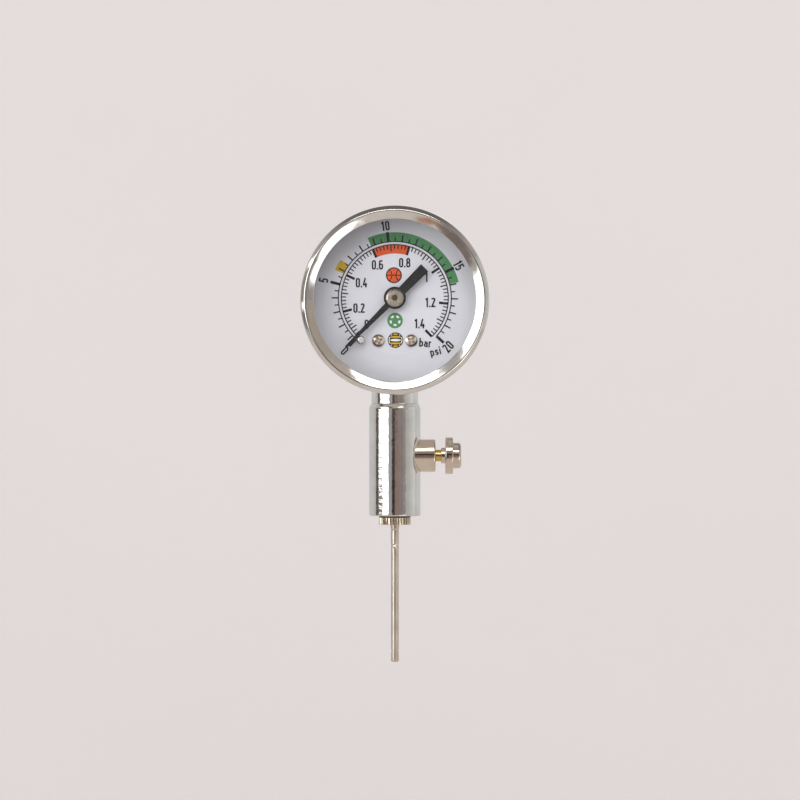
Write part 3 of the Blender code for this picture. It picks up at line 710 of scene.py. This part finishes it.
def football_patches():
    patches = []
    for k in range(5):
        degrees = 36 + 72 * k
        outline = oval(FOOTBALL + Vector(polar(0.95, degrees)), 0.37, 0.24, degrees)
        patches.append(prism(outline, *INK))
    return patches


def volleyball_panels():
    """Its yellow panels, and its white ones."""
    yellow, white = [], [oval((0, 0), 1.15, 0.26)]
    bowed = ((-1.15, 0.50), (1.15, 0.50), (1.0, 0.82), (0, 0.92), (-1.0, 0.82))
    for side in (-1, 1):
        yellow.append([(x, side * y) for x, y in bowed])
        yellow.append(oval((0, side * 1.28), 0.52, 0.17))
        white.append(arc(1.46, side * 60, side * 120, 8) + arc(1.28, side * 118, side * 62, 8))
        white += [oval((x, side * 1.1), 0.13, 0.11) for x in (-0.88, 0.88)]
    groups = (yellow, white)
    return [[shifted(prism(outline, *INK), VOLLEYBALL) for outline in group] for group in groups]


def paint_disc(centre):
    return prism(circle(BALL_R - 0.02, 48, centre), *PAINT)


def print_piece(name, solids, material):
    made = mesh_object(name, joined(solids), FRONTAL, DIAL_AXIS)
    finish_piece(made, material, "gauge")


def make_print():
    """The scales, the pressure zones and a generic ball beside each zone's range."""
    black = scale_rings() + psi_ticks() + bar_ticks() + numbers() + basketball_lines()
    black.append(paint_disc(VOLLEYBALL))
    print_piece("print_black", black, INK_BLACK)
    green = band(12.12, 14.0, bar_deg(0.6), bar_deg(1.1), *PAINT)
    print_piece("print_green", [green, paint_disc(FOOTBALL)], INK_GREEN)
    orange = band(9.45, 11.27, bar_deg(0.6), bar_deg(0.8), *PAINT)
    print_piece("print_orange", [orange, paint_disc(BASKETBALL)], INK_ORANGE)
    yellow_panels, white_panels = volleyball_panels()
    yellow = band(12.12, 14.1, bar_deg(0.4), bar_deg(0.45), *PAINT)
    print_piece("print_yellow", [yellow] + yellow_panels, INK_YELLOW)
    print_piece("print_white", football_patches() + white_panels, INK_WHITE)


# ------------------------------------------------------------- pointer, screws and pin
POINTER_ZERO = -135.2
HUB_R = 2.36


def make_pointer():
    """A tapered needle and a broad tail either side of a round hub."""
    back, front = fronts("pointer")
    half_needle, half_tip, half_tail, half_end = 0.64, 0.27, 0.95, 1.1
    length, tail, bore = 14.8, 9.0, 1.0
    start = math.degrees(math.asin(half_needle / HUB_R))
    end = 180 - math.degrees(math.asin(half_tail / HUB_R))
    right = arc(HUB_R, start, end, 30)
    outline = [(-half_tip, length), (half_tip, length)] + right + [(half_end, -tail), (-half_end, -tail)]
    outline += [(-x, y) for x, y in reversed(right)]
    turn = FRONTAL @ Matrix.Rotation(math.radians(-POINTER_ZERO), 4, "Z")
    pointer = mesh_object("pointer_blade", prism(outline, back, front), turn, DIAL_AXIS)
    hole = lathed(rod(bore, back - 1, front + 1), 48)
    cut(pointer, mesh_object("hub_hole", hole, FRONTAL, DIAL_AXIS))
    chamfer = pointer.modifiers.new("edges", "BEVEL")
    chamfer.width = 0.05 * MM
    chamfer.segments = 2
    chamfer.angle_limit = math.radians(50)
    finish_piece(pointer, POINTER_BLACK, "pointer_assembly", ["pointer"])


def make_bushing():
    """A cap over the pointer's hub on a neck through it, bored for the pinion's arbor."""
    back, front = fronts("pointer_bushing")
    radius, neck, bore = extent("pointer_bushing")[1].x, 0.9, 0.52
    cap = fronts("pointer")[1] + 0.05
    corners = [(bore, back), (bore, front - 0.12), (bore + 0.16, front, 0.04)]
    corners += [(1.45, front - 0.03, 0.12), (radius, cap + 0.3, 0.1), (radius, cap, 0.05)]
    corners += [(neck, cap), (neck, back)]
    bushing = mesh_object("bushing_cap", lathed(corners, 96), FRONTAL, DIAL_AXIS)
    finish_piece(bushing, BUSHING_NICKEL, "pointer_assembly", ["pointer_bushing"])


def cross(reach, half):
    """The outline of a cross with arms of this reach and half width."""
    quarter = [(half, reach), (half, half), (reach, half)]
    points = []
    for k in range(4):
        turn = Matrix.Rotation(-k * math.pi / 2, 2)
        points += [turn @ Vector(p) for p in quarter]
    return points


def make_dial_screws():
    """Pan heads with a tapered cross recess, each stopped at its own angle."""
    head, shank = 1.33, 0.8
    seat = DIAL_FACE + GAP
    for word, clocking in (("left", 20), ("right", -35)):
        node = "dial_screw_" + word
        low, high = fronts(node)
        centre = Vector((middle(node).x, 0, middle(node).z))
        corners = [(0, high), (0.75, high - 0.03, 0.5), (head, seat + 0.22, 0.16)]
        corners += [(head, seat, 0.03), (shank, seat), (shank, low), (0, low)]
        screw = mesh_object("screw_" + word, lathed(corners, 80), FRONTAL, centre)
        turn = FRONTAL @ Matrix.Rotation(math.radians(clocking), 4, "Z")
        recess = prism(cross(1.0, 0.27), seat + 0.1, high + 0.1, 0.35)
        cut(screw, mesh_object("recess", recess, turn, centre))
        finish_piece(screw, SCREW_NICKEL, "gauge", [node])


def make_stop_pin():
    """A stub that the pointer rests against, on a wider foot that the pointer passes over."""
    low, high = fronts("zero_stop_pin")
    seat = DIAL_FACE + GAP
    top = fronts("pointer")[0] - 0.25
    stub = middle("zero_stop_pin")
    radius, foot, shank = extent("zero_stop_pin")[1].x - stub.x, 0.95, 0.45
    corners = [(0, high), (radius, high - 0.1, 0.3), (radius, top, 0.1), (foot, top - 0.12, 0.35)]
    corners += [(foot, seat, 0.03), (shank, seat), (shank, low), (0, low)]
    pin = mesh_object("stop_pin", lathed(corners, 64), FRONTAL, Vector((stub.x, 0, stub.z)))
    finish_piece(pin, CHROME, "gauge", ["zero_stop_pin"])


# --------------------------------------------------------------------- stem and valve
def make_stem():
    """Bored for the needle below and the socket above, with a passage between, and for the valve."""
    low, high = extent("stem_body")
    radius, needle_bore, passage, socket_bore, valve_hole = high.x, 2.6, 1.2, 4.2, 3.56
    needle_top, passage_low, socket_low = 8.5, 9.5, 19.8
    corners = [(socket_bore, high.z), (radius - 0.42, high.z, 0.12), (radius, high.z - 0.75, 1.6)]
    corners += [(radius, low.z, 0.3), (needle_bore, low.z, 0.1), (needle_bore, needle_top)]
    corners += [(passage, passage_low), (passage, socket_low), (socket_bore, socket_low)]
    stem = mesh_object("stem_tube", lathed(corners, 160))
    hole = lathed(rod(valve_hole, -2.2, 9), 96)
    cut(stem, mesh_object("cross_hole", hole, SIDEWAYS, VALVE_AXIS))
    finish_piece(stem, STEM_CHROME, "gauge", ["stem_body"])


def make_neck():
    """The sleeve between stem and case, its top cut to the case's round side."""
    high = extent("stem_neck")[1]
    seat, top, bore = extent("stem_body")[1].z + 0.01, high.z + 1, 4.1
    corners = [(bore, seat), (bore, top), (high.x, top), (high.x, seat, 0.15)]
    neck = mesh_object("neck_sleeve", lathed(corners, 128))
    saddle = lathed(rod(extent("case")[1].x + GAP, -12, 12), 256)
    cut(neck, mesh_object("saddle", saddle, FRONTAL, CASE_AXIS))
    finish_piece(neck, STEM_CHROME, "gauge", ["stem_neck"])


def make_valve():
    """The barrel, and the shaft in it with the flange that holds its seal."""
    low, high = extent("valve_body")
    radius, chamber = (high.z - low.z) / 2, 2.3
    corners = [(chamber, high.x, 0.12), (radius, high.x, 0.35), (radius, low.x), (chamber, low.x)]
    body = mesh_object("valve_barrel", lathed(corners, 128), SIDEWAYS, VALVE_AXIS)
    finish_piece(body, VALVE_NICKEL, "gauge", ["valve_body"])
    low, high = extent("valve_stem")
    shank, flange, flange_end = 1.25, 1.9, 3.3
    corners = [(0, high.x), (shank, high.x, 0.2), (shank, flange_end), (flange, flange_end, 0.1)]
    corners += [(flange, low.x, 0.1), (0, low.x)]
    shaft = mesh_object("valve_shaft", lathed(corners, 64), SIDEWAYS, VALVE_AXIS)
    finish_piece(shaft, NECK_BRASS, "bleed_valve", ["valve_stem"])


def make_button():
    """A hub, a wide flange to pull by and a raised end to press, bored for the shaft."""
    low, high = extent("valve_button")
    hub, flange, knob, bore = 1.7, (high.z - low.z) / 2, 2.75, 1.3
    near, far, bottom = 10.8, 12.45, 12.1
    corners = [(0, high.x), (knob, high.x, 0.6), (knob, far, 0.06), (flange, far, 0.22)]
    corners += [(flange, near, 0.22), (hub, near, 0.06), (hub, low.x, 0.12)]
    corners += [(bore, low.x), (bore, bottom), (0, bottom)]
    button = mesh_object("push_button", lathed(corners, 128), SIDEWAYS, VALVE_AXIS)
    finish_piece(button, VALVE_NICKEL, "bleed_valve", ["valve_button"])


def make_valve_spring():
    low, high = extent("valve_spring")
    turns, per_turn, coil, wire = 4, 24, 1.5, 0.18
    count = turns * per_turn
    length = high.x - low.x - 2 * wire
    path = []
    for k in range(count + 1):
        y, z = polar(coil, 360 * turns * k / count)
        path.append((low.x + wire + length * k / count, y, z + VALVE_AXIS.z))
    spring = mesh_object("valve_coil", swept(path, circle(wire, 12), (1, 0, 0)))
    spring.data.materials.append(STEEL)
    spring.data.shade_smooth()
    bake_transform(spring)
    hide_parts("valve_spring")


# ----------------------------------------------------------------------- the needle
def make_collar():
    """Knurled round its rim, with a screw thread on its shank."""
    ribs, rib_depth = 34, 0.2
    pitch, thread_depth = 0.8, 0.28
    high = extent("needle_collar")[1]
    rim, shank, bore, thick = high.x, 2.45, 0.98, 1.6
    thread_low, thread_length = thick + 0.5, high.z - 0.3 - thick - 0.5

    def shape(turn, radius, height):
        if radius > rim - 0.14 and 0.08 < height < thick - 0.08:
            phase = (turn * ribs) % 1
            return radius - rib_depth * min(1, max(0, 1.7 * abs(2 * phase - 1) - 0.7))
        if radius > shank - 0.02 and thick + 0.4 < height:
            phase = (height / pitch - turn) % 1
            return radius - thread_depth * abs(2 * phase - 1)
        return radius

    rows = round(thread_length / pitch * 8)
    corners = [(bore, 0), (rim, 0, 0.14), (rim, thick, 0.14), (shank, thick)]
    for k in range(rows + 1):
        corners.append((shank, thread_low + thread_length * k / rows))
    corners += [(shank - 0.3, high.z), (bore, high.z)]
    collar = mesh_object("collar_knurled", lathed(corners, ribs * 12, shape))
    finish_piece(collar, NEEDLE_NICKEL, "needle", ["needle_collar"], 30)


def make_needle():
    """Crimped twice under the collar, with a rounded end and an air port across it."""
    low, high = extent("needle_tube")
    tube, base, sleeve, crimp, bore, port = 0.85, 0.93, 0.88, 0.78, 0.45, 0.38
    bottom = low.z + 1.2
    corners = [(bore, high.z), (tube, high.z, 0.06), (tube, -0.06), (base, -0.06, 0.04)]
    corners += [(base, -0.85, 0.12), (crimp, -1.05, 0.12), (sleeve, -1.35, 0.15)]
    corners += [(sleeve, -4.1, 0.15), (crimp, -4.4, 0.12), (0.9, -4.7, 0.15), (tube, -5.0, 0.3)]
    corners += [(tube, low.z, 0.62), (0, low.z), (0, bottom), (bore, bottom)]
    needle = mesh_object("needle_pipe", lathed(corners, 72))
    across = lathed(rod(port, -3, 3), 36)
    cut(needle, mesh_object("port", across, SIDEWAYS, Vector((0, 0, low.z + 2.4))))
    finish_piece(needle, NEEDLE_SATIN, "needle", ["needle_tube"])


# ------------------------------------------------------------------ inside the case
def make_bourdon_tube():
    """A flat tube bent to an arc, built in one fixed shape that does not follow the end cap as it
    swings.
    """
    low, high = extent("bourdon_tube")
    thick, wide, wall, radius, root, tip = 1.7, 5.0, 0.3, 13.4, -158, 114
    centre = -(low.y + high.y) / 2
    straight = (wide - thick) / 2

    def section(inset):
        r = thick / 2 - inset
        return arc(r, 90, 270, 8, (0, -straight))[::-1] + arc(r, -90, 90, 8, (0, straight))[::-1]

    path = [(x, -centre, z + DIAL_AXIS.z) for x, z in arc(radius, root, tip, 90)]
    tube = mesh_object("pressure_tube", swept(path, section(0), (0, 1, 0), section(wall)))
    tube.data.materials.append(BRONZE)
    tube.data.shade_smooth()
    tube.data.set_sharp_from_angle(angle=math.radians(40))
    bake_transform(tube)
    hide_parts("bourdon_tube")


KEPT = {
    "lens_gasket": RUBBER, "dial_plate": DIAL_WHITE, "hairspring": BRONZE, "hairspring_stud": BRASS,
    "movement_front_plate": BRASS, "movement_back_plate": BRASS, "movement_pillar_left": BRASS,
    "movement_pillar_right": BRASS, "movement_pillar_lower": BRASS, "movement_screw_left": STEEL,
    "movement_screw_right": STEEL, "socket": BRASS, "socket_seal": RUBBER, "valve_sleeve": BRASS,
    "pinion_arbor": ARBOR_STEEL_WITH_PAINTED_SHADE, "sector_gear": BRASS, "sector_arbor": STEEL, "sector_link_pin": STEEL,
    "tube_tip": BRASS, "tip_link_pin": STEEL, "link": BRASS, "valve_seal": RUBBER, "needle_seal": RUBBER,
}


def dress_kept_nodes():
    """CAD nodes that keep their shape get a finish and slightly broken edges."""
    for name, material in KEPT.items():
        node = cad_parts[name]
        for holder in node.material_slots:
            holder.material = material
        if name == "hairspring":
            continue
        broken = node.modifiers.new("broken_edges", "BEVEL")
        broken.width = 0.04 * MM
        broken.segments = 2
        broken.angle_limit = math.radians(40)


# --------------------------------------------------------------- stage, lights, camera
TARGET = Vector((0, -4, 30))


def direction(azimuth, elevation):
    """From the target, azimuth clockwise seen from above, 0 towards the camera and 90 to its left."""
    a, e = math.radians(azimuth), math.radians(elevation)
    return Vector((-math.sin(a) * math.cos(e), -math.cos(a) * math.cos(e), math.sin(e)))


def make_bowl():
    """A seamless pale sweep: a flat floor that rises into a wall all round."""
    floor, reach, bend, wall = -220.0, 1800.0, 900.0, 1500.0
    count = 24
    profile = [(0, floor), (reach - bend, floor)]
    for k in range(1, count + 1):
        a = math.radians(90 * k / count)
        profile.append((reach - bend + bend * math.sin(a), floor + bend - bend * math.cos(a)))
    profile.append((reach, wall))
    outside = [(r + 20, h) for r, h in reversed(profile[1:])]
    bowl = mesh_object("sweep", lathed(profile + outside + [(0, floor - 20)], 96))
    bowl.data.shade_smooth()
    bowl.visible_glossy = False
    made = Finish("pale_sweep")
    clouds = made.between(made.noise(220.0, 2.0), 0.3, 0.7, 0, 1)
    wall_tone = made.mix(clouds, colour(0.70, 0.675, 0.675), colour(0.715, 0.69, 0.69))
    # Painted shade: the floor is painted darker near the middle, fading out to the wall tone between 60
    # and 650 mm, to even its brightness against the wall.
    span = made.node("VectorMath", {"operation": "LENGTH"}, Vector=made.place.outputs[0])
    away = made.between(span.outputs["Value"], 60, 650, 0, 1)
    made.set(made.shader.inputs["Base Color"], made.mix(away, colour(0.60, 0.58, 0.58), wall_tone))
    made.set(made.shader.inputs["Roughness"], made.between(clouds, 0, 1, 0.8, 0.9))
    made.shader.inputs["Emission Color"].default_value = colour(0.68, 0.655, 0.66)
    made.shader.inputs["Emission Strength"].default_value = 0.49
    bowl.data.materials.append(made.material)


def face_target(thing, azimuth, elevation, distance):
    place = TARGET + direction(azimuth, elevation) * distance
    thing.location = place * MM
    thing.rotation_mode = "QUATERNION"
    thing.rotation_quaternion = (place - TARGET).to_track_quat("Z", "Y")


def softbox(name, azimuth, elevation, distance, width, height, radiance, tint=(1, 1, 1)):
    """An area light of even brightness, given as the radiance that a mirror would show."""
    light = bpy.data.lights.new(name, "AREA")
    light.shape = "RECTANGLE"
    light.size, light.size_y = width * MM, height * MM
    light.energy = radiance * math.pi * light.size * light.size_y
    light.color = tint
    made = bpy.data.objects.new(name, light)
    bpy.context.scene.collection.objects.link(made)
    face_target(made, azimuth, elevation, distance)
    made.visible_camera = False


def card(name, azimuth, elevation, distance, width, height, brightness):
    """A studio card that only reflections see: a bright one lifts them and a dark one flags them."""
    x, y = width / 2, height / 2
    made = mesh_object(name, prism([(-x, -y), (x, -y), (x, y), (-x, y)], -1, 1))
    face_target(made, azimuth, elevation, distance)
    material = bpy.data.materials.new(name)
    material.use_nodes = True
    shader = material.node_tree.nodes["Principled BSDF"]
    shader.inputs["Base Color"].default_value = colour(0, 0, 0)
    shader.inputs["Specular IOR Level"].default_value = 0
    shader.inputs["Emission Color"].default_value = colour(*brightness)
    shader.inputs["Emission Strength"].default_value = 1.0
    made.data.materials.append(material)
    made.visible_camera = made.visible_diffuse = made.visible_shadow = False
    made.visible_transmission = made.visible_volume_scatter = False


def make_world():
    """Dim surroundings for reflections: beige below, brown-grey in front, dark above, pale behind."""
    world = bpy.data.worlds.new("studio")
    bpy.context.scene.world = world
    world.use_nodes = True
    tree = world.node_tree
    background = tree.nodes["Background"]
    coordinates = tree.nodes.new("ShaderNodeTexCoord")
    split = tree.nodes.new("ShaderNodeSeparateXYZ")
    tree.links.new(coordinates.outputs["Generated"], split.inputs[0])

    def ramp(value, low, high, one, other):
        spread = tree.nodes.new("ShaderNodeMapRange")
        spread.inputs["From Min"].default_value = low
        spread.inputs["From Max"].default_value = high
        tree.links.new(value, spread.inputs["Value"])
        mix = tree.nodes.new("ShaderNodeMix")
        mix.data_type = "RGBA"
        tree.links.new(spread.outputs[0], mix.inputs[0])
        for socket, tone in ((mix.inputs[6], one), (mix.inputs[7], other)):
            if isinstance(tone, bpy.types.NodeSocket):
                tree.links.new(tone, socket)
            else:
                socket.default_value = colour(*tone)
        return mix.outputs[2]

    around = ramp(split.outputs["Y"], -0.5, 0.45, (0.30, 0.28, 0.255), (0.62, 0.61, 0.59))
    above = ramp(split.outputs["Z"], 0.60, 0.85, around, (0.15, 0.132, 0.12))
    whole = ramp(split.outputs["Z"], -0.45, -0.2, (0.62, 0.555, 0.50), above)
    tree.links.new(whole, background.inputs["Color"])
    background.inputs["Strength"].default_value = 1.0


def make_lights():
    """Three softboxes, and the cards that shape what the bright metal mirrors.

    Each has an azimuth, an elevation, a distance, a width, a height and a brightness.
    """
    softbox("key", 53, 8.5, 900, 800, 600, 2.35)
    softbox("overhead", 0, 41, 950, 780, 260, 3.7)
    softbox("fill", -76, 6, 1100, 1100, 900, 0.2, (0.97, 1.0, 0.97))
    card("low_bounce", -37, -22, 900, 480, 500, (1.9, 1.9, 1.85))
    card("cool_gap", 20, -3, 870, 200, 420, (0.38, 0.39, 0.395))
    card("camera_flag", 0, 6.5, 860, 420, 170, (0.04, 0.03, 0.025))
    card("dark_gap", 6.5, -8, 850, 200, 240, (0.05, 0.037, 0.03))
    card("red_flag", -10, -8, 840, 290, 240, (0.29, 0.205, 0.18))
    card("warm_flag", -29, -3, 870, 270, 420, (0.27, 0.225, 0.21))
    card("key_flag", 68, -8.5, 800, 330, 175, (0.18, 0.16, 0.15))
    card("left_flag", 87, 0, 800, 190, 420, (0.12, 0.09, 0.085))
    card("roll_flag", 71, 11.5, 800, 230, 315, (0.26, 0.225, 0.20))
    card("left_low", 34, -26, 900, 400, 330, (0.20, 0.16, 0.145))
    card("left_gap", 30, 33, 1000, 300, 260, (0.42, 0.385, 0.37))
    card("right_wall", -40, 22, 900, 655, 640, (0.42, 0.355, 0.30))
    card("warm_card", 19.5, -37, 880, 110, 200, (0.42, 0.22, 0.14))


def make_camera():
    """Level with the middle of the gauge and square to its dial."""
    distance, plane, width = 1000.0, -7.0, 170.2
    sensor = 36.0
    camera = bpy.data.cameras.new("camera")
    camera.sensor_width = sensor
    camera.lens = sensor * distance / width
    camera.clip_start, camera.clip_end = 0.01, 10
    made = bpy.data.objects.new("camera", camera)
    bpy.context.scene.collection.objects.link(made)
    made.location = Vector((1.1, plane - distance, 26.7)) * MM
    made.rotation_euler = (math.pi / 2, 0, 0)
    bpy.context.scene.camera = made


make_case()
make_bezel()
make_lens()
make_print()
make_pointer()
make_bushing()
make_dial_screws()
make_stop_pin()
make_stem()
make_neck()
make_valve()
make_button()
make_valve_spring()
make_collar()
make_needle()
make_bourdon_tube()
dress_kept_nodes()
make_bowl()
make_world()
make_lights()
make_camera()
bpy.context.scene.view_settings.view_transform = "Standard"
